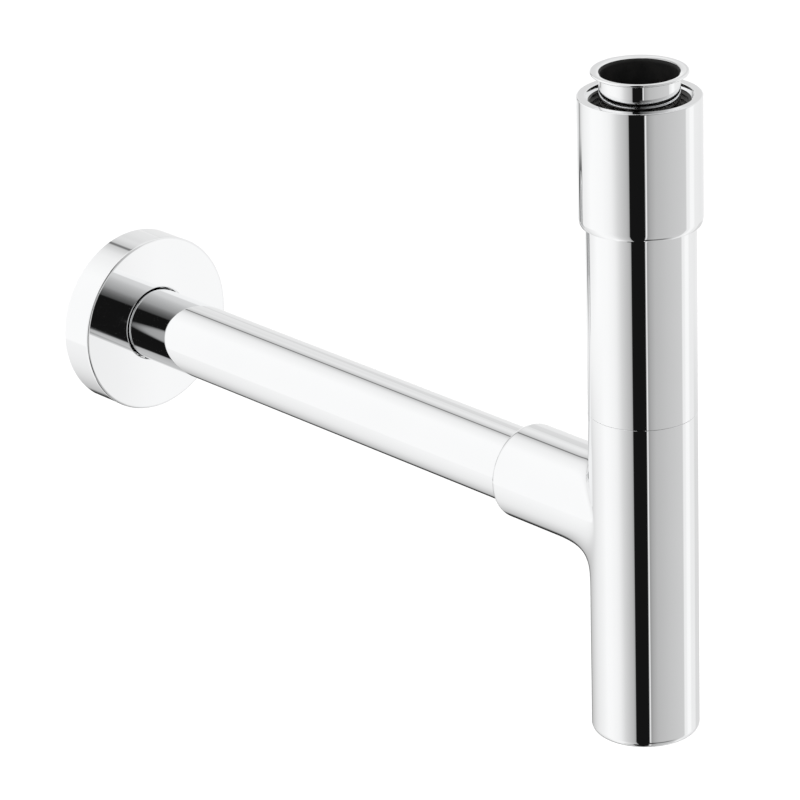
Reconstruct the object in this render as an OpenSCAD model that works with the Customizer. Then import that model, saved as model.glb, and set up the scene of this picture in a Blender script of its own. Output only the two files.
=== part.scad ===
// Chromed tubular trap for a wash basin: a vertical barrel with a dip tube inside,
// a horizontal tube to the wall and a round wall cover.
// Millimetres. The origin is the centre of the inlet flange's top face, +Z is up
// and +Y runs along the outlet tube to the wall.

/* [Tubes] */
// Outside diameter of the inlet and wall tubes
tube_d = 32; // [31.8:0.1:32.2]
// Wall thickness of both tubes
tube_wall = 0.8; // [0.8:0.1:1.5]

/* [Inlet] */
// Height of the flange's face above the underside of the trap
trap_h = 282; // [281:1:300]
// Outside diameter of the inlet flange
flange_d = 38.8; // [37:0.2:38.8]
// Thickness of the inlet flange
flange_t = 1.2; // [0.9:0.1:1.5]
// Height of the dip tube's lower end above the underside
dip_end_h = 18.5; // [16:0.5:28]

/* [Barrel] */
// Outside diameter of the barrel
barrel_d = 44; // [44:0.1:44.2]
// Wall thickness of the barrel
barrel_wall = 1.4; // [1.2:0.1:1.6]
// Rounding of the barrel's lower edge
barrel_edge_r = 3; // [1:0.5:3.1]
// Height of the joint between the lower and the upper barrel
seam_h = 139.5; // [130:0.5:150]
// Height of the shoulder under the gland's neck
shoulder_h = 230; // [226:1:230]

/* [Outlet] */
// Height of the outlet's axis above the underside
outlet_h = 93.5; // [80:0.5:98]
// Outside diameter of the outlet socket
socket_d = 40.4; // [40:0.1:42]
// Distance from the barrel's axis to the socket's end
socket_end = 70; // [68:1:80]
// Rounding of the socket's end
socket_edge_r = 3.6; // [1:0.1:3.7]

/* [Union sleeve] */
// Outside diameter of the union sleeve
sleeve_d = 49.4; // [49:0.2:52]
// Distance from the flange's face down to the sleeve's top
sleeve_drop = 10; // [9:0.5:12]
// Height of the union sleeve
sleeve_h = 52.5; // [50:0.5:54]
// Minor diameter of the union thread, 39 for G 1 1/4
thread_d = 39; // [39:0.1:39.2]

/* [Wall tube and cover] */
// Distance from the barrel's axis to the wall
wall_dist = 325; // [300:1:360]
// Length of tube that goes into the wall's drain
tail_l = 20; // [15:1:40]
// Diameter of the wall cover
cover_d = 79; // [70:1:90]
// Depth of the wall cover
cover_t = 16; // [15:0.5:20]

/* [Hidden] */

$fn = 96;
eps = 0.01;
chrome = "#d4d7da";
brass = "#c9a95c";
rubber = "#232325";
plastic = "#e8e8e4";

tube_r = tube_d / 2;
barrel_r = barrel_d / 2;
barrel_bore_r = barrel_r - barrel_wall;
sleeve_r = sleeve_d / 2;
socket_r = socket_d / 2;
cover_r = cover_d / 2;

// Radial gaps: a sliding fit, a free gap between moving pieces, and one inside a body
fit_gap = 0.05;
free_gap = 0.3;
ring_gap = 0.35;
rest_gap = 0.1;
tube_pass_r = tube_r + 0.4;

// Underside: a plug of G 1 size closes the cleaning opening
floor_t = 8;
plug_thread_r = 15.15;
plug_head_r = 18.4;
plug_head_t = 2.1;
plug_thread_l = 7;
plug_ring_r = 16.5;
plug_ring_wire_r = 0.7;
plug_ring_seat_r = 17.8;
plug_ring_seat_t = 2.4;
slot_l = 26;
slot_w = 3;
slot_depth = 1.2;

// Spigot of the upper barrel in the lower one
spigot_l = 12;
spigot_wall = 1.9;
barrel_groove_w = 2;
barrel_groove_depth = 1.5;
barrel_wire_r = 0.7;

// Gland: a neck on the upper barrel holds the rubber seal around the dip tube
neck_h = 11;
neck_r = 20.2;
collar_t = 8;
seat_r = 19;
seat_depth = 8;
washer_t = 1.4;
nut_r = 21.8;
nut_web_t = 2.9;
nut_notches = 20;
notch_r = 1;
notch_out = 0.4;

// Union sleeve: mouth, thread, web that lifts the slip ring, and skirt
sleeve_top_h = trap_h - sleeve_drop;
sleeve_low_h = sleeve_top_h - sleeve_h;
mouth_r = thread_d / 2 + 1.75;
mouth_depth = 2;
web_h = 252.5;
web_t = 3.5;
skirt_r = sleeve_r - 1.5;
sleeve_edge_h = 4.6;
sleeve_edge_w = 3.4;
sleeve_edge_turn = 35;
lip_t = 2.5;
slip_ring_t = 2;
guide_h = 6;

// Outlet socket: stop, bore and two sealing grooves
stop_y = 25;
waterway_r = 14;
groove_w = 3;
groove_depth = 2;
groove_y = [50, 59];
wire_r = 0.8;
pipe_start_y = 32;

// Wall cover: a drum open to the wall, with a collar for its sealing ring
cover_wall = 1.2;
cover_face_t = 1.6;
cover_front_y = wall_dist - cover_t;
cover_bore_r = tube_r + 0.5;
collar_r = tube_r + 4.6;
collar_l = 10;
cover_groove_r = tube_r + 2.9;
cover_groove_w = 2.8;
cover_ring_y = cover_front_y + 6;
cover_wire_r = 1.1;

// Shallow rolled mark that shows how far the tube goes into the drain
mark_w = 0.6;
mark_depth = 0.25;

// Points of an arc, or of a quarter of an ellipse where rx and ry differ
function arc(cx, cy, rx, ry, a0, a1, n = 10) =
    [for (i = [0 : n]) let (a = a0 + (a1 - a0) * i / n) [cx + rx * cos(a), cy + ry * sin(a)]];

// Heights are taken from the trap's underside
module from_underside() {
    translate([0, 0, -trap_h]) children();
}

// Turned shapes about the outlet's axis, drawn with their length along +Y
module on_outlet(y = 0) {
    translate([0, y, outlet_h - trap_h]) rotate([-90, 0, 0]) children();
}

module ring(r_out, r_in, h) {
    difference() {
        cylinder(r = r_out, h = h);
        translate([0, 0, -1]) cylinder(r = r_in, h = h + 2);
    }
}

module o_ring(centre_r, wire) {
    rotate_extrude() translate([centre_r, 0]) circle(r = wire, $fn = 24);
}

module inlet_pipe() {
    edge = 0.4;
    color(chrome) from_underside() difference() {
        union() {
            translate([0, 0, dip_end_h]) cylinder(r = tube_r, h = trap_h - dip_end_h);
            rotate_extrude() polygon(concat(
                [[tube_r - tube_wall / 2, trap_h - flange_t], [flange_d / 2 - edge, trap_h - flange_t]],
                arc(flange_d / 2 - edge, trap_h - flange_t + edge, edge, edge, -90, 0, 5),
                arc(flange_d / 2 - edge, trap_h - edge, edge, edge, 0, 90, 5),
                [[tube_r - tube_wall / 2, trap_h]]
            ));
        }
        translate([0, 0, dip_end_h - 1]) cylinder(r = tube_r - tube_wall, h = trap_h);
    }
}

module slip_ring() {
    color(plastic) from_underside() translate([0, 0, web_h + web_t + 2 * rest_gap])
        ring(thread_d / 2 - free_gap, tube_pass_r, slip_ring_t);
}

module union_sleeve() {
    edge = 0.8;
    ease_top_h = sleeve_low_h + sleeve_edge_h * sin(sleeve_edge_turn);
    outline = concat(
        [[tube_pass_r, sleeve_low_h]],
        arc(sleeve_r - sleeve_edge_w, ease_top_h, sleeve_edge_w, sleeve_edge_h, -sleeve_edge_turn, 0),
        arc(sleeve_r - edge, sleeve_top_h - edge, edge, edge, 0, 90, 5),
        [[tube_pass_r, sleeve_top_h]]
    );
    color(chrome) from_underside() difference() {
        rotate_extrude() polygon(outline);
        translate([0, 0, sleeve_low_h - 1]) cylinder(r = barrel_r + free_gap, h = lip_t + 1 + eps);
        translate([0, 0, sleeve_low_h + lip_t]) cylinder(r = skirt_r, h = web_h - sleeve_low_h - lip_t);
        translate([0, 0, web_h + web_t]) cylinder(r = thread_d / 2, h = sleeve_h);
        translate([0, 0, sleeve_top_h - mouth_depth]) cylinder(r = mouth_r, h = sleeve_h);
    }
}

module sleeve_guide_ring() {
    color(plastic) from_underside() translate([0, 0, sleeve_low_h + lip_t + rest_gap])
        ring(skirt_r - rest_gap, barrel_r + ring_gap, guide_h);
}

module gland_nut() {
    washer_low_h = shoulder_h + neck_h + free_gap;
    web_low_h = washer_low_h + washer_t + free_gap;
    nut_low_h = shoulder_h + 1;
    nut_h = web_low_h + nut_web_t - nut_low_h;
    color(brass) from_underside() translate([0, 0, nut_low_h]) difference() {
        cylinder(r = nut_r, h = nut_h);
        translate([0, 0, -1]) cylinder(r = neck_r + fit_gap, h = web_low_h - nut_low_h + 1);
        translate([0, 0, -1]) cylinder(r = tube_pass_r, h = nut_h + 2);
        for (i = [0 : nut_notches - 1]) rotate([0, 0, i * 360 / nut_notches])
            translate([nut_r + notch_out, 0, -1]) cylinder(r = notch_r, h = nut_h + 2, $fn = 24);
    }
}

module gland_washer() {
    color(plastic) from_underside() translate([0, 0, shoulder_h + neck_h + free_gap])
        ring(neck_r - 0.6, tube_pass_r, washer_t);
}

module gland_seal() {
    low_h = shoulder_h + neck_h - seat_depth + free_gap;
    high_h = shoulder_h + neck_h;
    bevel = 1.2;
    color(rubber) from_underside() rotate_extrude() polygon([
        [tube_r + free_gap, low_h],
        [seat_r - free_gap - bevel, low_h],
        [seat_r - free_gap, low_h + 2 * bevel],
        [seat_r - free_gap, high_h],
        [tube_r + free_gap, high_h]
    ]);
}

module upper_barrel() {
    groove_h = seam_h - spigot_l / 2 - barrel_groove_w / 2;
    spigot_r = barrel_bore_r - rest_gap;
    top_h = shoulder_h + neck_h;
    color(chrome) from_underside() difference() {
        union() {
            translate([0, 0, seam_h + rest_gap / 2])
                cylinder(r = barrel_r, h = shoulder_h - seam_h - rest_gap / 2);
            translate([0, 0, seam_h - spigot_l]) cylinder(r = spigot_r, h = spigot_l + 1);
            translate([0, 0, shoulder_h - 1]) cylinder(r = neck_r, h = neck_h + 1);
        }
        translate([0, 0, seam_h - spigot_l - 1]) cylinder(r = spigot_r - spigot_wall, h = spigot_l + 6);
        translate([0, 0, seam_h + 4]) cylinder(r = barrel_bore_r, h = shoulder_h - collar_t - seam_h - 4);
        translate([0, 0, shoulder_h - collar_t - 1]) cylinder(r = tube_pass_r, h = collar_t + neck_h);
        translate([0, 0, top_h - seat_depth]) cylinder(r = seat_r, h = seat_depth + 1);
        translate([0, 0, groove_h]) ring(barrel_r, spigot_r - barrel_groove_depth, barrel_groove_w);
    }
}

module barrel_o_ring() {
    color(rubber) from_underside() translate([0, 0, seam_h - spigot_l / 2])
        o_ring(barrel_bore_r - (barrel_groove_depth + rest_gap) / 2, barrel_wire_r);
}

// Lower barrel and outlet socket in one casting, with a cleaning opening underneath
module outlet_tee() {
    recess_r = plug_head_r + free_gap;
    plug_bore_r = plug_thread_r + fit_gap;
    color(chrome) difference() {
        union() {
            from_underside() rotate_extrude() polygon(concat(
                [[0, 0]],
                arc(barrel_r - barrel_edge_r, barrel_edge_r, barrel_edge_r, barrel_edge_r, -90, 0),
                [[barrel_r, seam_h], [0, seam_h]]
            ));
            on_outlet() rotate_extrude() polygon(concat(
                [[0, 0], [socket_r, 0]],
                arc(socket_r - socket_edge_r, socket_end - socket_edge_r, socket_edge_r, socket_edge_r, 0, 90, 8),
                [[0, socket_end]]
            ));
        }
        from_underside() {
            translate([0, 0, floor_t]) cylinder(r = barrel_bore_r, h = seam_h);
            translate([0, 0, -1]) cylinder(r = plug_bore_r, h = floor_t + 2);
            translate([0, 0, -1]) cylinder(r = recess_r, h = plug_head_t + 1 + free_gap);
            translate([0, 0, plug_head_t]) cylinder(r = plug_ring_seat_r, h = plug_ring_seat_t);
        }
        on_outlet() cylinder(r = waterway_r, h = socket_end);
        on_outlet(stop_y) cylinder(r = tube_r + fit_gap, h = socket_end);
        for (y = groove_y) on_outlet(y) cylinder(r = tube_r + groove_depth, h = groove_w);
    }
}

module socket_o_ring(y) {
    color(rubber) on_outlet(y + groove_w / 2) o_ring(tube_r + free_gap + wire_r, wire_r);
}

module socket_o_ring_inner() {
    socket_o_ring(groove_y[0]);
}

module socket_o_ring_outer() {
    socket_o_ring(groove_y[1]);
}

module cleaning_plug() {
    hollow_r = 12;
    color(chrome) from_underside() difference() {
        union() {
            translate([0, 0, rest_gap]) cylinder(r = plug_head_r, h = plug_head_t - rest_gap);
            translate([0, 0, plug_head_t - 1]) cylinder(r = plug_thread_r, h = plug_thread_l + 1);
        }
        translate([0, 0, plug_head_t + 2]) cylinder(r = hollow_r, h = plug_thread_l);
        translate([-slot_l / 2, -slot_w / 2, -1]) cube([slot_l, slot_w, slot_depth + 1 + rest_gap]);
    }
}

module plug_o_ring() {
    color(rubber) from_underside() translate([0, 0, plug_head_t + free_gap + plug_ring_wire_r])
        o_ring(plug_ring_r, plug_ring_wire_r);
}

module wall_pipe() {
    pipe_l = wall_dist + tail_l - pipe_start_y;
    color(chrome) difference() {
        on_outlet(pipe_start_y) cylinder(r = tube_r, h = pipe_l);
        on_outlet(pipe_start_y - 1) cylinder(r = tube_r - tube_wall, h = pipe_l + 2);
        on_outlet(wall_dist - mark_w) ring(tube_r + 1, tube_r - mark_depth, mark_w);
    }
}

module rosette() {
    edge = 0.8;
    bevel = 1;
    color(chrome) difference() {
        union() {
            on_outlet(cover_front_y) difference() {
                rotate_extrude() polygon(concat(
                    [[0, 0]],
                    arc(cover_r - edge, edge, edge, edge, -90, 0, 5),
                    [[cover_r, cover_t], [0, cover_t]]
                ));
                translate([0, 0, cover_face_t]) cylinder(r = cover_r - cover_wall, h = cover_t);
            }
            on_outlet(cover_front_y) cylinder(r = collar_r, h = collar_l);
        }
        on_outlet(cover_front_y - 1) cylinder(r = cover_bore_r, h = cover_t + 2);
        on_outlet(cover_front_y - eps) cylinder(r1 = cover_bore_r + bevel, r2 = cover_bore_r, h = bevel);
        on_outlet(cover_ring_y - cover_groove_w / 2) cylinder(r = cover_groove_r, h = cover_groove_w);
    }
}

module rosette_o_ring() {
    color(rubber) on_outlet(cover_ring_y) o_ring(tube_r + ring_gap + cover_wire_r, cover_wire_r);
}

inlet_pipe();
slip_ring();
union_sleeve();
sleeve_guide_ring();
gland_nut();
gland_washer();
gland_seal();
upper_barrel();
barrel_o_ring();
outlet_tee();
socket_o_ring_inner();
socket_o_ring_outer();
cleaning_plug();
plug_o_ring();
wall_pipe();
rosette();
rosette_o_ring();
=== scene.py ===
"""Chromed tubular basin trap: looks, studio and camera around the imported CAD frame. Metres, +Z up."""
import math

import bmesh
import bpy
import numpy as np
from mathutils import Matrix, Vector


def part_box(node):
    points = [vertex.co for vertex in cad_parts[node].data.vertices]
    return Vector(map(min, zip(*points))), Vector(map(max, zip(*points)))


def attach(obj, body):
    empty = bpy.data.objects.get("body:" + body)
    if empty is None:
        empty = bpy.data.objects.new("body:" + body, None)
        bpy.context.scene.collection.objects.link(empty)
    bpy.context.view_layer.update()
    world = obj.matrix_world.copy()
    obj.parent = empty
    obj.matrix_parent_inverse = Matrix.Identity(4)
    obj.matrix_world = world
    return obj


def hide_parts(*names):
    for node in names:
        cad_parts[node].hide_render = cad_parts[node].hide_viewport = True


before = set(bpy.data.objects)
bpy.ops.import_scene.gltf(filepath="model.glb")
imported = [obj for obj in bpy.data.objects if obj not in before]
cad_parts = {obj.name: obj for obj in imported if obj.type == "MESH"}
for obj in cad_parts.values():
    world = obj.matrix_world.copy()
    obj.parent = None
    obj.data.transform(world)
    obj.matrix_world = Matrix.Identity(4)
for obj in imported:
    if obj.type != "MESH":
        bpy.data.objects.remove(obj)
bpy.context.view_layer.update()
scene = bpy.context.scene

MM = 0.001
SEGMENTS = 144
# A ring this close to a rounding keeps the smooth shading of the straight wall beside it true
HOLD = 0.1 * MM
SHARP_ANGLE = math.radians(40)


# ---------------------------------------------------------------- sizes from the frame
def span(node, axis):
    """Lowest and highest place of a CAD node along one axis, in metres."""
    low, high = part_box(node)
    return low[axis], high[axis]


X, Y, Z = range(3)
BOTTOM, SEAM = span("outlet_tee", Z)
BARREL_R = span("outlet_tee", X)[1]
SOCKET_END = span("outlet_tee", Y)[1]
BARREL_TOP = span("upper_barrel", Z)[1]
SPIGOT_LOW = span("upper_barrel", Z)[0]
SLEEVE_LOW, SLEEVE_TOP = span("union_sleeve", Z)
SLEEVE_R = span("union_sleeve", X)[1]
DIP_LOW, FLANGE_TOP = span("inlet_pipe", Z)
FLANGE_R = span("inlet_pipe", X)[1]
PIPE_START, PIPE_END = span("wall_pipe", Y)
TUBE_R = span("wall_pipe", X)[1]
OUTLET_Z = sum(span("wall_pipe", Z)) / 2
COVER_FRONT, COVER_BACK = span("rosette", Y)
COVER_R = span("rosette", X)[1]
PLUG_R = span("cleaning_plug", X)[1]

TUBE_WALL = 0.8 * MM
BARREL_WALL = 1.4 * MM
BARREL_BORE_R = BARREL_R - BARREL_WALL
SOCKET_R = 20.2 * MM
SOCKET_EDGE = 3.6 * MM
SOCKET_BORE_R = TUBE_R + 0.05 * MM
SOCKET_STOP = 25.0 * MM
WATERWAY_R = 14.0 * MM
BOTTOM_EDGE = 3.0 * MM
FLOOR_T = 8.0 * MM
NECK_R = 20.2 * MM
NECK_H = 11.0 * MM
COLLAR_T = 8.0 * MM
SEAT_R = 19.0 * MM
SEAT_DEPTH = 8.0 * MM
TUBE_PASS_R = TUBE_R + 0.4 * MM
SPIGOT_R = BARREL_BORE_R - 0.1 * MM
SPIGOT_WALL = 1.9 * MM
THREAD_R = 19.5 * MM
THREAD_DEPTH = 1.2 * MM
THREAD_PITCH = 2.309 * MM
THREAD_RUN_OUT = 1.2 * MM
MOUTH_R = 21.25 * MM
MOUTH_DEPTH = 2.0 * MM
WEB_LOW = FLANGE_TOP - 29.5 * MM
WEB_T = 3.5 * MM


# ---------------------------------------------------------------- camera
CAMERA_AZIMUTH = math.radians(-41.309)


def make_camera():
    """The photograph's viewpoint: 41 degrees to the left, 22 degrees above, with a long lens."""
    azimuth, elevation, roll = CAMERA_AZIMUTH, math.radians(22.019), math.radians(-1.704)
    distance = 2.067
    target = Vector((0, 0.1463, BOTTOM + 0.1025))
    back = Vector((
        math.sin(azimuth) * math.cos(elevation),
        -math.cos(azimuth) * math.cos(elevation),
        math.sin(elevation),
    ))
    data = bpy.data.cameras.new("camera")
    data.lens, data.sensor_width = 220.3, 36.0
    data.clip_start, data.clip_end = 0.01, 50
    camera = bpy.data.objects.new("camera", data)
    scene.collection.objects.link(camera)
    turn = (-back).to_track_quat("-Z", "Y").to_matrix() @ Matrix.Rotation(roll, 3, "Z")
    camera.matrix_world = Matrix.Translation(target + back * distance) @ turn.to_4x4()
    scene.camera = camera


make_camera()


# ---------------------------------------------------------------- materials
def new_material(name):
    """A material with its nodes, links and main shader."""
    material = bpy.data.materials.new(name)
    material.use_nodes = True
    nodes, links = material.node_tree.nodes, material.node_tree.links
    return material, nodes, links, nodes["Principled BSDF"]


def noise(nodes, links, scale, detail=4.0, stretch=(1, 1, 1)):
    """Noise in the object's own metres."""
    place = nodes.new("ShaderNodeTexCoord")
    mapping = nodes.new("ShaderNodeMapping")
    mapping.inputs["Scale"].default_value = stretch
    texture = nodes.new("ShaderNodeTexNoise")
    texture.inputs["Scale"].default_value = scale
    texture.inputs["Detail"].default_value = detail
    links.new(place.outputs["Object"], mapping.inputs["Vector"])
    links.new(mapping.outputs["Vector"], texture.inputs["Vector"])
    return texture.outputs["Fac"]


def ramp(nodes, links, source, stops):
    """A colour ramp from (position, colour or grey) stops."""
    node = nodes.new("ShaderNodeValToRGB")
    elements = node.color_ramp.elements
    while len(elements) > 1:
        elements.remove(elements[-1])
    for i, (position, value) in enumerate(stops):
        element = elements[0] if i == 0 else elements.new(position)
        element.position = position
        element.color = (*value, 1) if isinstance(value, tuple) else (value, value, value, 1)
    links.new(source, node.inputs["Fac"])
    return node.outputs["Color"]


def bump(nodes, links, shader, source, strength, distance):
    """Roughens a shader's surface with a height of up to distance metres."""
    node = nodes.new("ShaderNodeBump")
    node.inputs["Strength"].default_value = strength
    node.inputs["Distance"].default_value = distance
    links.new(source, node.inputs["Height"])
    links.new(node.outputs["Normal"], shader.inputs["Normal"])


def chrome_material(name, tint, rough_low, rough_high):
    """Mirror-polished plating: faint variation in gloss and tone, and the slightest orange peel."""
    material, nodes, links, shader = new_material(name)
    shader.inputs["Metallic"].default_value = 1.0
    duller = tuple(c * 0.985 for c in tint)
    tone = ramp(nodes, links, noise(nodes, links, 22), [(0.3, duller), (0.7, tint)])
    links.new(tone, shader.inputs["Base Color"])
    gloss = ramp(nodes, links, noise(nodes, links, 260, 6), [(0.35, rough_low), (0.75, rough_high)])
    links.new(gloss, shader.inputs["Roughness"])
    bump(nodes, links, shader, noise(nodes, links, 120, 2), 0.02, 0.00002)
    return material


def machined_material(name, dark, light, stretch, rough):
    """Turned, unplated metal with fine tool marks around the axis."""
    material, nodes, links, shader = new_material(name)
    shader.inputs["Metallic"].default_value = 1.0
    tone = ramp(nodes, links, noise(nodes, links, 60, 5), [(0.3, dark), (0.7, light)])
    links.new(tone, shader.inputs["Base Color"])
    marks = noise(nodes, links, 900, 3, stretch)
    gloss = ramp(nodes, links, marks, [(0.3, rough), (0.7, rough * 1.6)])
    links.new(gloss, shader.inputs["Roughness"])
    bump(nodes, links, shader, marks, 0.25, 0.00005)
    return material


def bore_painted_shade_material():
    """The unplated inside of a tube, painted nearly black as the shade deep in its bore."""
    material, nodes, links, shader = new_material("bore_painted_shade")
    dark, light = (0.008, 0.008, 0.008), (0.02, 0.019, 0.018)
    tone = ramp(nodes, links, noise(nodes, links, 140, 6), [(0.3, dark), (0.8, light)])
    links.new(tone, shader.inputs["Base Color"])
    shader.inputs["Specular IOR Level"].default_value = 0.2
    gloss = ramp(nodes, links, noise(nodes, links, 300), [(0.3, 0.45), (0.7, 0.65)])
    links.new(gloss, shader.inputs["Roughness"])
    bump(nodes, links, shader, noise(nodes, links, 700, 4), 0.2, 0.0001)
    return material


def rubber_material():
    """Moulded black nitrile with a fine grain and a little bloom."""
    material, nodes, links, shader = new_material("seal_rubber")
    dark, light = (0.012, 0.012, 0.013), (0.035, 0.035, 0.036)
    tone = ramp(nodes, links, noise(nodes, links, 180, 5), [(0.35, dark), (0.8, light)])
    links.new(tone, shader.inputs["Base Color"])
    gloss = ramp(nodes, links, noise(nodes, links, 400), [(0.3, 0.42), (0.7, 0.62)])
    links.new(gloss, shader.inputs["Roughness"])
    bump(nodes, links, shader, noise(nodes, links, 2500, 2), 0.15, 0.00005)
    return material


def plastic_material():
    """White moulded plastic, slightly mottled."""
    material, nodes, links, shader = new_material("white_plastic")
    dark, light = (0.74, 0.74, 0.71), (0.82, 0.82, 0.79)
    tone = ramp(nodes, links, noise(nodes, links, 90, 4), [(0.3, dark), (0.7, light)])
    links.new(tone, shader.inputs["Base Color"])
    gloss = ramp(nodes, links, noise(nodes, links, 350), [(0.3, 0.35), (0.7, 0.5)])
    links.new(gloss, shader.inputs["Roughness"])
    bump(nodes, links, shader, noise(nodes, links, 1500, 3), 0.1, 0.00005)
    return material


CHROME = chrome_material("polished_chrome", (0.93, 0.935, 0.94), 0.012, 0.03)
# The threads and the inner faces of the sleeve, barrel and tee get a near-black tone: painted shade for
# the recesses and bores they lie in. The tool marks and gloss are the metal's own
INNER_METAL_PAINTED_SHADE = machined_material("cut_thread_painted_shade", (0.035, 0.034, 0.033), (0.09, 0.088, 0.085), (1, 1, 18), 0.22)
BRASS = machined_material("turned_brass", (0.55, 0.38, 0.14), (0.78, 0.58, 0.28), (1, 1, 18), 0.2)
# Near-black painted shade for the insides of the inlet and wall tubes
BORE_PAINTED_SHADE = bore_painted_shade_material()
RUBBER = rubber_material()
PLASTIC = plastic_material()


# ---------------------------------------------------------------- mesh tools
def arc(centre_r, centre_h, radius_r, radius_h, start, end, count=8):
    """Points (radius, height) of a quarter round or part of one; angles in degrees."""
    angles = (math.radians(start + (end - start) * i / count) for i in range(count + 1))
    return [(centre_r + radius_r * math.cos(a), centre_h + radius_h * math.sin(a)) for a in angles]


def build(name, verts, faces, tags=None, materials=(CHROME,)):
    """A smooth-shaded mesh object with sharp corners; tags give each face's material."""
    mesh = bpy.data.meshes.new(name)
    mesh.from_pydata([tuple(v) for v in verts], [], faces)
    for material in materials:
        mesh.materials.append(material)
    if tags is not None:
        mesh.polygons.foreach_set("material_index", tags)
    mesh.polygons.foreach_set("use_smooth", [True] * len(mesh.polygons))
    mesh.validate()
    mesh.update()
    mesh.set_sharp_from_angle(angle=SHARP_ANGLE)
    piece = bpy.data.objects.new(name, mesh)
    scene.collection.objects.link(piece)
    return piece


def turned(outline, tag=lambda r, h: 0, closed=True, radial=lambda r, h, angles: r + 0 * angles):
    """Vertices, faces and face tags of an outline of (radius, height) points turned about Z.

    The outline runs counter-clockwise, tag gives a face's material from its place, and radial may vary
    a ring's radius around it.
    """
    angles = np.arange(SEGMENTS) * 2 * math.pi / SEGMENTS
    rings = []
    for r, h in outline:
        radii = radial(r, h, angles)
        height = np.full(SEGMENTS, h)
        rings.append(np.stack([radii * np.cos(angles), radii * np.sin(angles), height], 1))
    faces, tags = [], []
    count = len(outline)
    for i in range(count if closed else count - 1):
        j = (i + 1) % count
        middle = [(a + b) / 2 for a, b in zip(outline[i], outline[j])]
        for k in range(SEGMENTS):
            n = (k + 1) % SEGMENTS
            faces.append((i * SEGMENTS + k, i * SEGMENTS + n, j * SEGMENTS + n, j * SEGMENTS + k))
            tags.append(tag(*middle))
    return np.concatenate(rings), faces, tags


def lathe(name, outline, axis="Z", materials=(CHROME,), **how):
    """A turned piece about the barrel's axis, or about the outlet's where axis is Y."""
    verts, faces, tags = turned(outline, **how)
    if axis == "Y":
        verts = np.stack([verts[:, 0], verts[:, 2], OUTLET_Z - verts[:, 1]], 1)
    return build(name, verts, faces, tags, materials)


def place(piece, node, body, slot):
    """The piece stands for a CAD node, and moves with its body."""
    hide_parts(node)
    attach(piece, body)


# ---------------------------------------------------------------- inlet tube and union sleeve
def make_inlet_pipe():
    """The dip tube, flared at the top into a thin lip that falls slightly to the bore."""
    bore_r = TUBE_R - TUBE_WALL
    ease, lip, cove = 0.2 * MM, 0.55 * MM, 1.0 * MM
    top = FLANGE_TOP
    outline = [
        (bore_r, DIP_LOW + ease), (bore_r + ease, DIP_LOW), (TUBE_R - ease, DIP_LOW),
        (TUBE_R, DIP_LOW + ease), (TUBE_R, top - 2 * lip - cove - HOLD),
        *arc(TUBE_R + cove, top - 2 * lip - cove, cove, cove, 180, 90),
        *arc(FLANGE_R - lip, top - lip, lip, lip, -90, 90, 10),
        (TUBE_R + 2.2 * MM, top - 0.03 * MM), (TUBE_R + 1.2 * MM, top - 0.2 * MM),
        (bore_r + 0.85 * MM, top - 0.55 * MM), (bore_r + 0.6 * MM, top - 0.75 * MM),
        (bore_r + 0.3 * MM, top - 1.05 * MM), (bore_r + 0.1 * MM, top - 1.4 * MM),
        (bore_r, top - 1.9 * MM),
    ]

    # Faces in the bore and on the lower part of the flare's inner slope take the near-black bore
    # colour: painted shade
    def tag(r, h):
        return 1 if r < bore_r + 0.75 * MM and h < top - 0.6 * MM else 0

    pipe = lathe("inlet_pipe_flared", outline, materials=(CHROME, BORE_PAINTED_SHADE), tag=tag)
    place(pipe, "inlet_pipe", "inlet", "polished_chrome")


def thread_radius(r, h, angles):
    """An internal V thread: the radius swings between crest and root once a pitch, along a helix."""
    high = SLEEVE_TOP - MOUTH_DEPTH
    low = WEB_LOW + WEB_T + THREAD_RUN_OUT
    if abs(r - THREAD_R) > 1e-6 or not low <= h <= high:
        return r + 0 * angles
    turn = ((h - low) / THREAD_PITCH - angles / (2 * math.pi)) % 1
    fade = min(1, (h - low) / THREAD_RUN_OUT, (high - h) / (0.5 * MM) + 0.25)
    return r + THREAD_DEPTH * fade * (1 - abs(2 * turn - 1))


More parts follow.
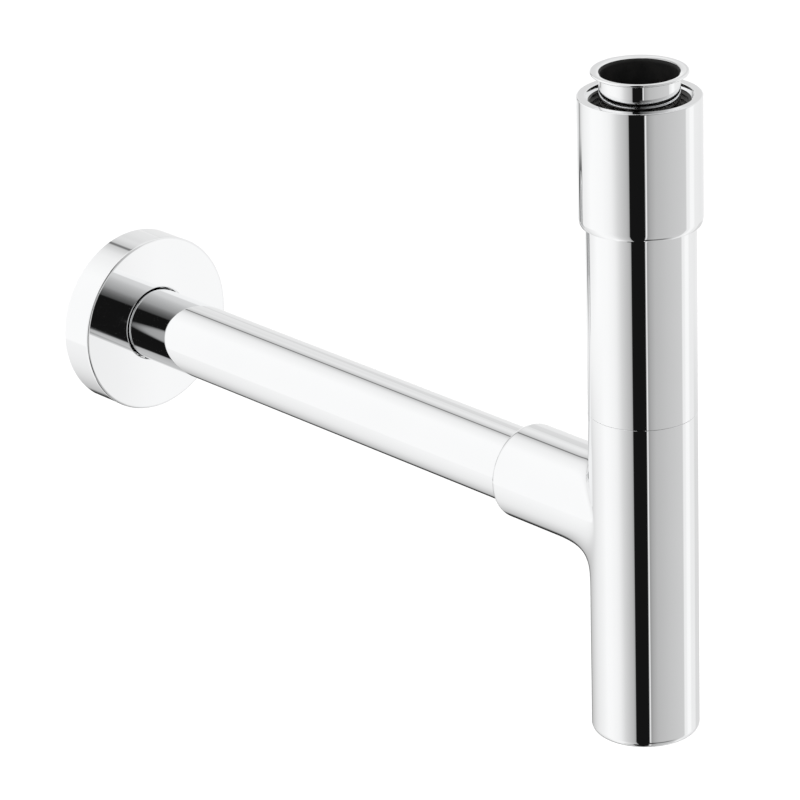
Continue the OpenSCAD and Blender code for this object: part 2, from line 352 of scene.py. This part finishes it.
def make_union_sleeve():
    """The long union nut: eased outer edges, threaded mouth, web for the slip ring, and a skirt."""
    edge, mouth_edge, corner = 0.5 * MM, 0.35 * MM, 0.2 * MM
    ease_h, ease_w, ease_turn = 4.6 * MM, 3.4 * MM, 35
    ease_top = SLEEVE_LOW + ease_h * math.sin(math.radians(ease_turn))
    lip_t = 2.5 * MM
    skirt_r = SLEEVE_R - 1.5 * MM
    mouth_low = SLEEVE_TOP - MOUTH_DEPTH
    web_top = WEB_LOW + WEB_T
    rows = 84
    thread_top = mouth_low - 0.3 * MM
    thread_low = web_top + THREAD_RUN_OUT
    thread = [(THREAD_R, thread_top - (thread_top - thread_low) * i / rows) for i in range(rows + 1)]
    outline = [
        (BARREL_R + 0.3 * MM, SLEEVE_LOW + 0.1 * MM), (BARREL_R + 0.4 * MM, SLEEVE_LOW),
        *arc(SLEEVE_R - ease_w, ease_top, ease_w, ease_h, -ease_turn, 0, 20),
        (SLEEVE_R, ease_top + HOLD), (SLEEVE_R, SLEEVE_TOP - edge - HOLD),
        *arc(SLEEVE_R - edge, SLEEVE_TOP - edge, edge, edge, 0, 90, 6),
        (MOUTH_R + mouth_edge, SLEEVE_TOP),
        *arc(MOUTH_R + mouth_edge, SLEEVE_TOP - mouth_edge, mouth_edge, mouth_edge, 90, 180, 4)[1:],
        (MOUTH_R, mouth_low + 0.1 * MM), (MOUTH_R - 0.1 * MM, mouth_low),
        (THREAD_R + 0.75 * MM, mouth_low), *thread,
        (THREAD_R, web_top), (TUBE_PASS_R + corner, web_top), (TUBE_PASS_R, web_top - corner),
        (TUBE_PASS_R, WEB_LOW + corner), (TUBE_PASS_R + corner, WEB_LOW), (skirt_r, WEB_LOW),
        (skirt_r, SLEEVE_LOW + lip_t), (BARREL_R + 0.3 * MM, SLEEVE_LOW + lip_t),
    ]

    # Faces in the threaded mouth and under the web take the near-black inner metal: painted shade in
    # these recesses
    def tag(r, h):
        threaded = r < MOUTH_R - 0.2 * MM and h < mouth_low - 0.05 * MM
        under_web = r < skirt_r + 0.1 * MM and SLEEVE_LOW + 0.02 * MM < h < WEB_LOW
        return 1 if threaded or under_web else 0

    sleeve = lathe("union_sleeve_body", outline, materials=(CHROME, INNER_METAL_PAINTED_SHADE), tag=tag,
                   radial=thread_radius)
    place(sleeve, "union_sleeve", "union_sleeve", "polished_chrome")


# ---------------------------------------------------------------- barrel
def make_upper_barrel():
    """The plain upper tube, with a spigot into the tee below and a neck for the gland nut above."""
    hair, edge = 0.12 * MM, 0.4 * MM
    shoulder = BARREL_TOP - NECK_H
    low = SEAM + 0.05 * MM
    groove_mid, groove_w, groove_r = SEAM - 6 * MM, 2 * MM, SPIGOT_R - 1.5 * MM
    rows = 8
    wall = [(BARREL_R, low + hair + (shoulder - low - 2 * hair) * i / rows) for i in range(1, rows)]
    outline = [
        (SPIGOT_R - SPIGOT_WALL, SPIGOT_LOW),
        (SPIGOT_R - edge, SPIGOT_LOW), (SPIGOT_R, SPIGOT_LOW + edge),
        (SPIGOT_R, groove_mid - groove_w / 2), (groove_r, groove_mid - groove_w / 2),
        (groove_r, groove_mid + groove_w / 2), (SPIGOT_R, groove_mid + groove_w / 2),
        (SPIGOT_R, low), (BARREL_R - hair, low), (BARREL_R, low + hair), *wall,
        (BARREL_R, shoulder - hair), (BARREL_R - hair, shoulder), (NECK_R, shoulder),
        (NECK_R, BARREL_TOP - edge), (NECK_R - edge, BARREL_TOP), (SEAT_R, BARREL_TOP),
        (SEAT_R, BARREL_TOP - SEAT_DEPTH), (TUBE_PASS_R, BARREL_TOP - SEAT_DEPTH),
        (TUBE_PASS_R, shoulder - COLLAR_T), (BARREL_BORE_R, shoulder - COLLAR_T),
        (BARREL_BORE_R, SEAM + 4 * MM), (SPIGOT_R - SPIGOT_WALL, SEAM + 4 * MM),
    ]

    # Faces inside the outer skin take the near-black inner metal: painted shade
    def tag(r, h):
        return 0 if r > BARREL_R - 0.2 * MM else 1

    barrel = lathe("upper_barrel_turned", outline, materials=(CHROME, INNER_METAL_PAINTED_SHADE), tag=tag)
    place(barrel, "upper_barrel", "trap_body", "polished_chrome")


# The tee's skin is a grid of rings around the outlet's axis. It starts at the edge of the barrel's
# bore, goes out along the waterway, turns over the socket's end, comes back along the socket, spreads
# through the blend onto the barrel and ends along the barrel's top, back and bottom edges.
HALF_TURN = SEGMENTS // 2
SIDE_ROWS = 96
FILLET_R, FILLET_CHANGE = 10.5 * MM, 5.0 * MM


def blend_radius(z):
    """The casting's fillet, larger under the socket than over it."""
    t = np.clip((z - OUTLET_Z) / SOCKET_R, -1, 1)
    return FILLET_R - FILLET_CHANGE * t


def tee_distance(p):
    """Distance outside the barrel and socket, melted together where they meet."""
    x, y, z = p[:, 0], p[:, 1], p[:, 2] - OUTLET_Z
    to_barrel = np.hypot(x, y)
    to_socket = np.hypot(x, z)
    a, b = to_barrel - BARREL_R, to_socket - SOCKET_R
    alike = np.clip(x * x / (to_barrel * to_socket + 1e-12), 0, 1)
    reach = 6 * blend_radius(p[:, 2]) * (1 - np.sqrt((1 + alike) / 2)) + 1e-9
    share = np.maximum(reach - np.abs(a - b), 0) / reach
    return np.where(y > 0, np.minimum(a, b) - share ** 3 * reach / 6, a)


def slope(p):
    """Gradient of tee_distance."""
    step = 1e-6
    return np.stack([
        (tee_distance(p + d) - tee_distance(p - d)) / (2 * step)
        for d in np.eye(3) * step
    ], 1)


def settle(p):
    """Moves points onto the tee's surface, by Newton's method."""
    for _ in range(16):
        g = slope(p)
        p = p - (tee_distance(p) / (g * g).sum(1))[:, None] * g
    return p


def unrolled_edge(low, high):
    """Edge of the barrel's unrolled wall: (turn from the outlet, height), clockwise from the top."""
    turns = [math.pi * i / HALF_TURN for i in range(HALF_TURN + 1)]
    heights = [high + (low - high) * i / SIDE_ROWS for i in range(SIDE_ROWS + 1)]
    right = [(t, high) for t in turns]
    right += [(math.pi, h) for h in heights[1:]]
    right += [(t, low) for t in turns[-2::-1]]
    left = [(-t, h) for t, h in right[-2:0:-1]]
    return np.array(right + left)


def on_wall(r, turn, z):
    """Points on a wall of radius r about the barrel's axis, from turns off the outlet and heights."""
    return np.stack([r * np.sin(turn), r * np.cos(turn), z], 1)


def make_outlet_tee():
    """The casting: lower barrel, outlet socket and the fillet between them, and the bores inside."""
    hair = 0.12 * MM
    edge = unrolled_edge(BOTTOM + BOTTOM_EDGE, SEAM - hair)
    around = np.arctan2(edge[:, 0] * BARREL_R, edge[:, 1] - OUTLET_Z)
    sine, cosine = np.sin(around), np.cos(around)

    def ring(r, y):
        return np.stack([r * sine, y + 0 * sine, OUTLET_Z + r * cosine], 1)

    inner_edge = unrolled_edge(BOTTOM + FLOOR_T, SEAM)
    foot = np.stack([np.arcsin(WATERWAY_R * sine / BARREL_BORE_R), OUTLET_Z + WATERWAY_R * cosine], 1)
    rings = []
    inner_rows, blend_rows, outer_rows = 12, 56, 24
    for i in range(inner_rows + 1):
        place_2d = inner_edge + (foot - inner_edge) * i / inner_rows
        rings.append(on_wall(BARREL_BORE_R, place_2d[:, 0], place_2d[:, 1]))
    groove_r = TUBE_R + 2 * MM
    profile = [(WATERWAY_R, SOCKET_STOP), (SOCKET_BORE_R, SOCKET_STOP)]
    for near, far in ((50 * MM, 53 * MM), (59 * MM, 62 * MM)):
        profile += [(SOCKET_BORE_R, near), (groove_r, near), (groove_r, far), (SOCKET_BORE_R, far)]
    bore_rings = len(profile)
    socket_wall = SOCKET_R - SOCKET_BORE_R
    profile += arc(SOCKET_BORE_R, SOCKET_END - SOCKET_EDGE, socket_wall, SOCKET_EDGE, 90, 0, 16)
    rings += [ring(r, y) for r, y in profile]
    rings += [ring(SOCKET_R, y * MM) for y in (62, 57, 52)]

    # The blend's grid runs from the straight socket, past the knee where the two cylinders meet, to a
    # ring on the barrel that reaches a little further below the socket than above it
    start = ring(SOCKET_R, 46 * MM)
    knee = ring(SOCKET_R, np.sqrt(BARREL_R ** 2 - (SOCKET_R * sine) ** 2))
    wide = (35 - 4 * cosine) * MM
    spread = np.stack([wide * sine / BARREL_R, OUTLET_Z + wide * cosine], 1)
    end = on_wall(BARREL_R, spread[:, 0], spread[:, 1])
    for i in range(blend_rows + 1):
        t = i / blend_rows
        rings.append(settle((1 - t) ** 2 * start + 2 * t * (1 - t) * knee + t * t * end))
    for i in range(1, outer_rows + 1):
        place_2d = spread + (edge - spread) * i / outer_rows
        rings.append(on_wall(BARREL_R, place_2d[:, 0], place_2d[:, 1]))
    count = len(edge)
    verts = np.concatenate(rings)
    faces = []
    for here in range(0, (len(rings) - 1) * count, count):
        for k in range(count):
            n = (k + 1) % count
            faces.append((here + k, here + count + k, here + count + n, here + n))
    # Faces inside the casting take the near-black inner metal: painted shade in its bores
    inner_faces = (inner_rows + bore_rings + 1) * count
    tags = [1] * inner_faces + [0] * (len(faces) - inner_faces)

    recess_r, recess_top, chamfer = PLUG_R + 0.3 * MM, BOTTOM + 2.4 * MM, 0.15 * MM
    ring_seat_r, ring_seat_top = 17.8 * MM, BOTTOM + 4.5 * MM
    plug_bore_r = 15.2 * MM
    bottom = [
        (BARREL_BORE_R, BOTTOM + FLOOR_T), (plug_bore_r, BOTTOM + FLOOR_T),
        (plug_bore_r, ring_seat_top), (ring_seat_r, ring_seat_top),
        (ring_seat_r, recess_top), (recess_r, recess_top),
        (recess_r, BOTTOM + chamfer), (recess_r + chamfer, BOTTOM),
        *arc(BARREL_R - BOTTOM_EDGE, BOTTOM + BOTTOM_EDGE, BOTTOM_EDGE, BOTTOM_EDGE, -90, 0, 14),
    ]
    rim = [(BARREL_R, SEAM - hair), (BARREL_R - hair, SEAM), (BARREL_BORE_R, SEAM)]

    # The recess for the plug takes the near-black inner metal too: painted shade
    def bottom_tag(r, h):
        return 0 if r > recess_r - 0.1 * MM else 1

    for outline, how in ((bottom, {"tag": bottom_tag}), (rim, {})):
        more_verts, more_faces, more_tags = turned(outline, closed=False, **how)
        faces += [tuple(v + len(verts) for v in f) for f in more_faces]
        tags += more_tags
        verts = np.concatenate([verts, more_verts])
    tee = build("outlet_tee_casting", verts, faces, tags, (CHROME, INNER_METAL_PAINTED_SHADE))
    weld(tee, 0.004 * MM)
    true_normals(tee)
    place(tee, "outlet_tee", "trap_body", "polished_chrome")


def weld(piece, distance):
    """Joins the seams of a piece made from several grids."""
    mesh = bmesh.new()
    mesh.from_mesh(piece.data)
    bmesh.ops.remove_doubles(mesh, verts=mesh.verts, dist=distance)
    bmesh.ops.recalc_face_normals(mesh, faces=mesh.faces)
    mesh.to_mesh(piece.data)
    mesh.free()
    piece.data.set_sharp_from_angle(angle=SHARP_ANGLE)


def true_normals(piece):
    """Gives the tee's outer skin the exact normals of its surface, so it mirrors without ripples."""
    slack = 0.001 * MM
    mesh = piece.data
    co = np.zeros(len(mesh.vertices) * 3)
    mesh.vertices.foreach_get("co", co)
    co = co.reshape(-1, 3)
    g = slope(co)
    g /= np.linalg.norm(g, axis=1)[:, None]
    on_skin = np.abs(tee_distance(co)) < 2 * slack
    on_skin &= (co[:, 2] > BOTTOM + BOTTOM_EDGE - slack) & (co[:, 2] < SEAM - 0.1 * MM)
    on_skin &= co[:, 1] < SOCKET_END - SOCKET_EDGE + slack

    # A zero normal leaves Blender's own
    normals = np.zeros((len(mesh.loops), 3))
    for polygon in mesh.polygons:
        if all(on_skin[v] for v in polygon.vertices):
            for i, v in zip(polygon.loop_indices, polygon.vertices):
                normals[i] = g[v]
    mesh.normals_split_custom_set([tuple(n) for n in normals])


# ---------------------------------------------------------------- wall tube and cover
def make_wall_pipe():
    """The drawn tube from the socket's stop into the wall, with a rolled depth mark."""
    bore_r = TUBE_R - TUBE_WALL
    ease = 0.25 * MM
    mark, mark_depth, mark_half, mark_flat = COVER_BACK - 0.3 * MM, 0.25 * MM, 0.3 * MM, 0.15 * MM
    rows = 12
    start, end = PIPE_START + ease, mark - mark_half
    outline = [
        (bore_r, start), (bore_r + ease, PIPE_START), (TUBE_R - ease, PIPE_START),
        *[(TUBE_R, start + (end - start) * i / rows) for i in range(rows + 1)],
        (TUBE_R - mark_depth, mark - mark_flat), (TUBE_R - mark_depth, mark + mark_flat),
        (TUBE_R, mark + mark_half), (TUBE_R, PIPE_END - ease), (TUBE_R - ease, PIPE_END),
        (bore_r + ease, PIPE_END), (bore_r, PIPE_END - ease),
    ]

    # Faces in the bore take the near-black bore colour: painted shade
    def tag(r, h):
        return 1 if r < bore_r + ease / 2 else 0

    pipe = lathe("wall_pipe_drawn", outline, axis="Y", materials=(CHROME, BORE_PAINTED_SHADE), tag=tag)
    place(pipe, "wall_pipe", "wall_pipe", "polished_chrome")


def make_cover():
    """The wall cover: a spun drum with a crisp face, a rolled bore edge and a collar behind."""
    wall, face = 1.2 * MM, 1.6 * MM
    edge, roll, chamfer, back_edge = 1.0 * MM, 0.7 * MM, 1.0 * MM, 0.2 * MM
    bore_r = TUBE_R + 0.5 * MM
    collar_r = TUBE_R + 4.6 * MM
    collar_end = COVER_FRONT + 10 * MM
    ring_y = COVER_FRONT + 6 * MM
    groove_r, groove_w = TUBE_R + 2.9 * MM, 2.8 * MM
    outline = [
        *arc(bore_r + roll, COVER_FRONT + roll, roll, roll, 180, 270, 6),
        (bore_r + roll + HOLD, COVER_FRONT), (COVER_R - edge - HOLD, COVER_FRONT),
        *arc(COVER_R - edge, COVER_FRONT + edge, edge, edge, -90, 0, 6),
        (COVER_R, COVER_FRONT + edge + HOLD), (COVER_R, COVER_BACK - back_edge),
        (COVER_R - back_edge, COVER_BACK), (COVER_R - wall, COVER_BACK),
        (COVER_R - wall, COVER_FRONT + face + chamfer), (COVER_R - wall - chamfer, COVER_FRONT + face),
        (collar_r, COVER_FRONT + face), (collar_r, collar_end), (bore_r, collar_end),
        (bore_r, ring_y + groove_w / 2), (groove_r, ring_y + groove_w / 2),
        (groove_r, ring_y - groove_w / 2), (bore_r, ring_y - groove_w / 2),
    ]
    cover = lathe("wall_cover_spun", outline, axis="Y")
    place(cover, "rosette", "cover", "polished_chrome")


make_inlet_pipe()
make_union_sleeve()
make_upper_barrel()
make_outlet_tee()
make_wall_pipe()
make_cover()


# ---------------------------------------------------------------- CAD nodes that stay
def finish_node(name, material, edge=0.0):
    """Gives a CAD node its material and, where edge isn't 0, slightly rounded edges."""
    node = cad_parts[name]
    node.data.materials.clear()
    node.data.materials.append(material)
    if edge:
        bevel = node.modifiers.new("eased_edges", "BEVEL")
        bevel.width, bevel.segments = edge, 2
        bevel.limit_method, bevel.angle_limit = "ANGLE", math.radians(35)
        bevel.harden_normals = True


for rubber_node in ("gland_seal", "barrel_o_ring", "socket_o_ring_inner", "socket_o_ring_outer",
                    "plug_o_ring", "rosette_o_ring"):
    finish_node(rubber_node, RUBBER)
for plastic_node in ("slip_ring", "sleeve_guide_ring", "gland_washer"):
    finish_node(plastic_node, PLASTIC, 0.2 * MM)
finish_node("gland_nut", BRASS, 0.2 * MM)
finish_node("cleaning_plug", CHROME, 0.25 * MM)


# ---------------------------------------------------------------- studio
def grey(value):
    """Linear light for a grey written from 0 to 255 as a screen shows it."""
    v = value / 255
    return v / 12.92 if v <= 0.04045 else ((v + 0.055) / 1.055) ** 2.4


# Brightness around the trap, seen in its reflections: (degrees to the right of the camera, grey).
# The dark slot is the opening that the camera looks through.
AROUND = [
    (-180, 250), (-109, 251), (-77, 249), (-64, 244), (-57, 238), (-51, 227), (-45, 213), (-39, 202),
    (-33, 191), (-28, 182), (-24.5, 166), (-22.9, 154), (-22.5, 20), (5.4, 20), (5.8, 250), (8, 250),
    (8.5, 145), (11, 158), (14, 168), (18, 175), (24, 184), (50, 195), (86.5, 205), (88, 236),
    (95, 238), (98, 248), (108, 248), (112, 236), (140, 232), (180, 236),
]
# The same higher up and lower down on the screen, where the slot widens to the right
SLOT_LEFT = [(-180, 250), (-60, 245), (-40, 205), (-28, 182), (-22.9, 154), (-22.5, 20)]
HIGH = SLOT_LEFT + [
    (-4, 20), (-1, 75), (9, 100), (20, 125), (33, 158), (48, 172), (63, 184), (77, 197), (88, 214),
    (100, 220), (110, 228), (180, 245),
]
LOW = SLOT_LEFT + [
    (12, 22), (17, 60), (25, 105), (50, 125), (70, 190), (90, 230), (180, 245),
]
# The share of the light that the chrome gives back
CHROME_SHARE = 0.93


def glow_material(name, strength=1.0):
    """A material that only shines, with its node tree and the socket of its colour."""
    material = bpy.data.materials.new(name)
    material.use_nodes = True
    tree = material.node_tree
    tree.nodes.clear()
    glow = tree.nodes.new("ShaderNodeEmission")
    glow.inputs["Strength"].default_value = strength
    out = tree.nodes.new("ShaderNodeOutputMaterial")
    tree.links.new(glow.outputs[0], out.inputs["Surface"])
    return material, tree, glow.inputs["Color"]


class Shading:
    """Short names for the arithmetic of one shader."""

    def __init__(self, tree):
        self.nodes, self.links = tree.nodes, tree.links

    def math(self, operation, *values):
        node = self.nodes.new("ShaderNodeMath")
        node.operation = operation
        for socket, value in zip(node.inputs, values):
            if isinstance(value, bpy.types.NodeSocket):
                self.links.new(value, socket)
            else:
                socket.default_value = value
        return node.outputs[0]

    def fade(self, value, start, end):
        """Rises smoothly from 0 at start to 1 at end."""
        node = self.nodes.new("ShaderNodeMapRange")
        node.interpolation_type = "SMOOTHSTEP"
        node.inputs["From Min"].default_value = start
        node.inputs["From Max"].default_value = end
        self.links.new(value, node.inputs["Value"])
        return node.outputs[0]

    def mix(self, share, first, second):
        """First where share is 0, second where it is 1."""
        step = self.math("MULTIPLY", share, self.math("SUBTRACT", second, first))
        return self.math("ADD", first, step)

    def degrees(self, radians):
        return self.math("MULTIPLY", radians, 180 / math.pi)

    def greys(self, value, low, high, stops):
        """Linear light looked up from (value, grey) stops between low and high."""
        share = self.math("DIVIDE", self.math("SUBTRACT", value, low), high - low)
        shares = [((v - low) / (high - low), grey(g)) for v, g in stops]
        return ramp(self.nodes, self.links, share, shares)

    def heading(self, vector):
        """Parts of a vector to the camera's right, away from the camera, and up."""
        spin = self.nodes.new("ShaderNodeVectorRotate")
        spin.rotation_type = "Z_AXIS"
        spin.inputs["Angle"].default_value = -CAMERA_AZIMUTH
        self.links.new(vector, spin.inputs["Vector"])
        split = self.nodes.new("ShaderNodeSeparateXYZ")
        self.links.new(spin.outputs["Vector"], split.inputs[0])
        return split.outputs

    def around(self, right, away, steep=0.0):
        """Degrees from the camera's side to the right; steep carries it over the ground."""
        return self.degrees(self.math("ARCTAN2", right, self.math("SUBTRACT", steep, away)))


def make_tent():
    """A curved screen on the camera's side of the trap, seen only in reflections."""
    radius, low, high = 0.6, -1.3, 1.1
    first, last, count = -80, 130, 105
    turns = CAMERA_AZIMUTH - math.pi / 2 + np.radians(np.linspace(first, last, count + 1))
    lower = np.stack([radius * np.cos(turns), radius * np.sin(turns), np.full(count + 1, low)], 1)
    upper = lower + np.array([0, 0, high - low])
    faces = [(k, k + 1, count + 2 + k, count + 1 + k) for k in range(count)]
    material, tree, colour = glow_material("tent", 1 / CHROME_SHARE)
    shading = Shading(tree)
    here = tree.nodes.new("ShaderNodeTexCoord").outputs["Object"]
    right, away, up = shading.heading(here)
    turn = shading.around(right, away)

    # The slot widens from just above the flange, and in a band well below the trap
    light = shading.mix(shading.fade(up, 0.02, 0.1), shading.greys(turn, -180, 180, AROUND),
                        shading.greys(turn, -180, 180, HIGH))
    low_here = shading.math("MULTIPLY", shading.fade(up, -0.62, -0.72), shading.fade(up, -1.0, -0.94))
    light = shading.mix(low_here, light, shading.greys(turn, -180, 180, LOW))
    tree.links.new(light, colour)
    tent = build("tent", np.concatenate([lower, upper]), faces, None, (material,))
    tent.visible_camera = tent.visible_diffuse = tent.visible_shadow = False


def make_floor():
    """A pale floor well below the trap, not seen in the chrome."""
    half, drop = 6.0, 0.5
    z = BOTTOM - drop
    material, nodes, links, shader = new_material("floor")
    tone = ramp(nodes, links, noise(nodes, links, 3), [(0.3, 0.88), (0.7, 0.9)])
    links.new(tone, shader.inputs["Base Color"])
    shader.inputs["Roughness"].default_value = 0.9
    shader.inputs["Specular IOR Level"].default_value = 0.1
    floor = build("floor", [(-half, -half, z), (half, -half, z), (half, half, z), (-half, half, z)],
                  [(0, 1, 2, 3)], None, (material,))
    floor.visible_glossy = False


def make_backdrop():
    """A plain pale dome around the floor, seen only by the camera."""
    radius = 5.8
    material, tree, colour = glow_material("backdrop")
    cloud = noise(tree.nodes, tree.links, 0.3)
    tree.links.new(ramp(tree.nodes, tree.links, cloud, [(0.3, grey(251)), (0.7, grey(254))]), colour)
    verts, faces, _ = turned(arc(0, 0, radius, radius, -90, 90, 24), closed=False)
    dome = build("backdrop", verts, faces, None, (material,))
    dome.visible_glossy = dome.visible_diffuse = dome.visible_transmission = dome.visible_shadow = False


def make_world():
    """The white studio, with a dark edge behind the trap's left side and a darker ground behind it."""
    world = bpy.data.worlds.new("studio")
    world.use_nodes = True
    tree = world.node_tree
    shading = Shading(tree)
    direction = tree.nodes.new("ShaderNodeTexCoord").outputs["Generated"]
    right, away, up = shading.heading(direction)
    left_of_back = shading.degrees(shading.math("ARCTAN2", shading.math("MULTIPLY", right, -1), away))
    rise = shading.degrees(shading.math("ARCSINE", up))

    # A narrow screen that leans towards the back as it rises, dark where it is low and soft higher up
    lean = shading.math("MULTIPLY_ADD", rise, -0.22, 29.5)
    off = shading.math("ABSOLUTE", shading.math("SUBTRACT", left_of_back, lean))
    low_edge = shading.greys(off, 0, 60, [(0, 40), (8, 60), (10.5, 240), (20, 243), (40, 255)])
    high_edge = shading.greys(off, 0, 60, [
        (0, 110), (1.2, 145), (2.4, 203), (7, 218), (12, 233), (20, 243), (45, 255),
    ])
    edge = shading.mix(shading.fade(rise, -19.6, -18.9), low_edge, high_edge)
    edge_here = shading.fade(rise, -21.7, -20.2)

    # The ground, darkest straight behind the trap, from a little below the camera's own line of sight
    ground = shading.greys(left_of_back, -90, 90, [
        (-90, 255), (-70, 250), (-59, 246), (-50, 240), (-40, 237), (-22, 236), (-12, 205), (-6, 80),
        (-3, 35), (8, 35), (12, 60), (16, 120), (19, 180), (22, 192), (37, 213), (48, 226), (60, 237),
        (75, 245), (90, 255),
    ])
    turn = shading.math("ABSOLUTE", left_of_back)
    limit = shading.math("MULTIPLY", shading.fade(turn, 16, 5), 7.0)
    ground_here = shading.math("MULTIPLY", shading.fade(rise, -75, -50),
                               shading.fade(shading.math("ADD", rise, limit), -20.8, -23.0))

    # A slightly greyer patch behind, higher up
    behind = shading.math("MULTIPLY", shading.fade(turn, 24, 8), shading.fade(rise, 8, 14))
    behind = shading.math("MULTIPLY", behind, shading.fade(rise, 34, 28))

    steep = shading.math("MULTIPLY", shading.fade(up, -0.7, -1.0), 0.5)
    light = shading.greys(shading.around(right, away, steep), -180, 180, AROUND)
    for here, tone in ((edge_here, edge), (ground_here, ground), (behind, grey(242))):
        light = shading.math("MULTIPLY", light, shading.mix(here, 1.0, tone))
    background = tree.nodes["Background"]
    background.inputs["Color"].default_value = (1, 1, 1, 1)
    tree.links.new(shading.math("DIVIDE", light, CHROME_SHARE), background.inputs["Strength"])
    scene.world = world
    scene.view_settings.view_transform = "Standard"


def make_sky_light():
    """Even light from overhead that keeps the floor pale, and isn't seen in the chrome."""
    data = bpy.data.lights.new("overhead", "SUN")
    data.energy = 1.5
    data.angle = math.radians(150)
    lamp = bpy.data.objects.new("overhead", data)
    lamp.visible_glossy = False
    scene.collection.objects.link(lamp)


make_tent()
make_floor()
make_backdrop()
make_world()
make_sky_light()
